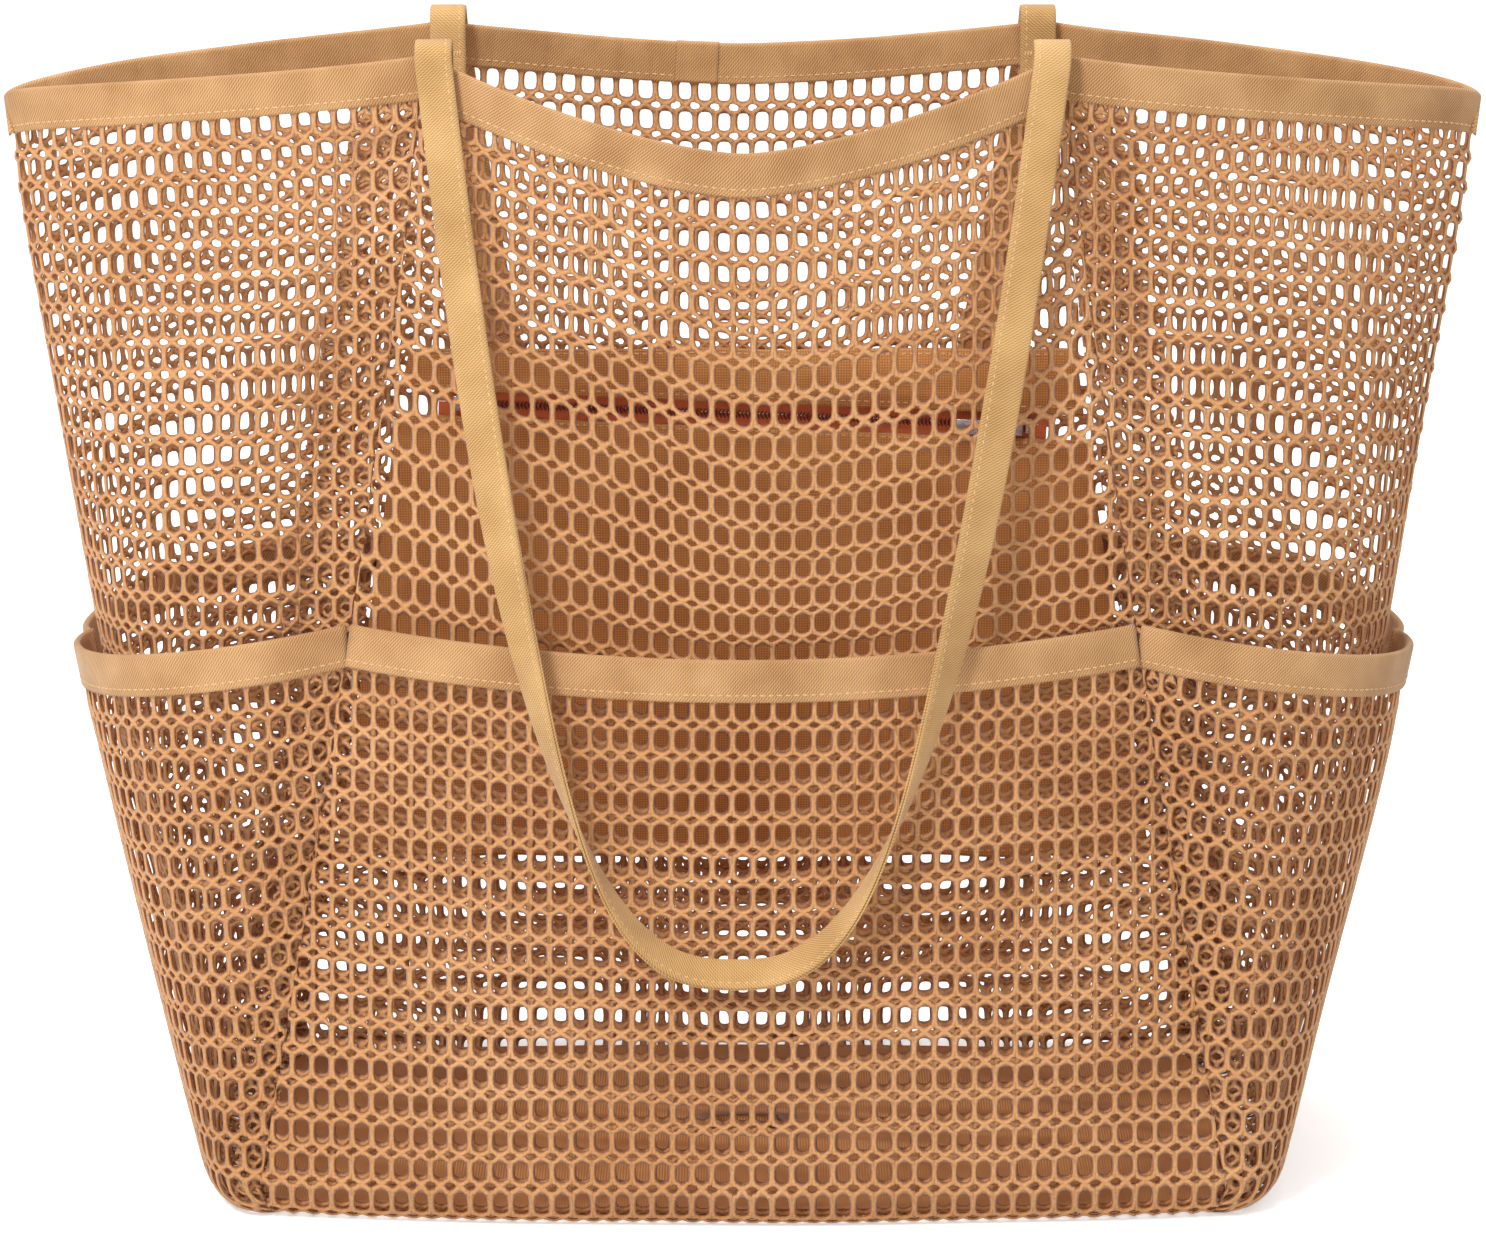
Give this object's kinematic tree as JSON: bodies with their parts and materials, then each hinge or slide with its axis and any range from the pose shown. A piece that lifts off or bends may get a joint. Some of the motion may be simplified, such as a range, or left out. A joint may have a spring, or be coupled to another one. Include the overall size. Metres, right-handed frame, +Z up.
{
  "type": "beach bag",
  "caption": "Large soft net tote with a lobed wide mouth, a flat base, open outer pockets all round, a zipped inner pocket and two long strap handles.",
  "frame": {"origin": "middle of the bag's footprint on the surface it stands on", "axes": "+X to the right along the wide mouth, +Y towards the back wall with the zipped pocket, +Z up"},
  "size_m": [0.5744, 0.2524, 0.4533],
  "materials": {
    "net": "warp-knitted open net in warm tan, matt",
    "binding_tape": "twill binding tape in warm tan, folded and stitched",
    "woven_lining": "plain woven polyester in a darker tan",
    "handle_strap": "flat twill strap in yellowish tan with an edge stitch",
    "zip_tape": "fine coral woven zip tape",
    "zip_coil": "dark red brown nylon coil",
    "zip_metal": "small bright plated metal",
    "thread": "sewing thread in light tan"
  },
  "bodies": {
    "root": {"base_panel": "woven_lining", "front_body_panel": "net", "back_body_panel": "net", "left_side_panel": "net", "right_side_panel": "net", "rim_binding": "binding_tape", "front_pocket_panel": "net", "back_pocket_panel": "net", "left_pocket_panel": "net", "right_pocket_panel": "net", "front_pocket_binding": "binding_tape", "back_pocket_binding": "binding_tape", "left_pocket_binding": "binding_tape", "right_pocket_binding": "binding_tape", "inner_pocket_panel": "woven_lining", "inner_pocket_top_strip": "woven_lining", "zip_tape_upper": "zip_tape", "zip_tape_lower": "zip_tape", "zip_coil_upper": "zip_coil", "zip_coil_lower": "zip_coil", "zip_end_stops": "zip_metal", "front_handle_ends": "handle_strap", "back_handle_ends": "handle_strap", "handle_bar_tacks": "thread"},
    "front_handle": {"front_handle": "handle_strap"},
    "back_handle": {"back_handle": "handle_strap"},
    "zip_slider": {"zip_slider": "zip_metal"},
    "zip_pull": {"zip_pull": "zip_metal"}
  },
  "joints": [
    {"name": "front_handle_swing", "type": "hinge", "parent": "root", "child": "front_handle", "pos_m": [0, -0.05, 0.4515], "axis": [-1, 0, 0], "range_deg": [0, 170]},
    {"name": "back_handle_swing", "type": "hinge", "parent": "root", "child": "back_handle", "pos_m": [0, 0.05, 0.4515], "axis": [1, 0, 0], "range_deg": [0, 170]},
    {"name": "zip_travel", "type": "slide", "parent": "root", "child": "zip_slider", "axis": [-0.9991, -0.0053, 0.0415], "range_m": [0, 0.218]},
    {"name": "zip_pull_flip", "type": "hinge", "parent": "zip_slider", "child": "zip_pull", "pos_m": [0.1089, 0.05743, 0.27994], "axis": [0.0419, -0.1258, 0.9912], "range_deg": [0, 170]}
  ]
}
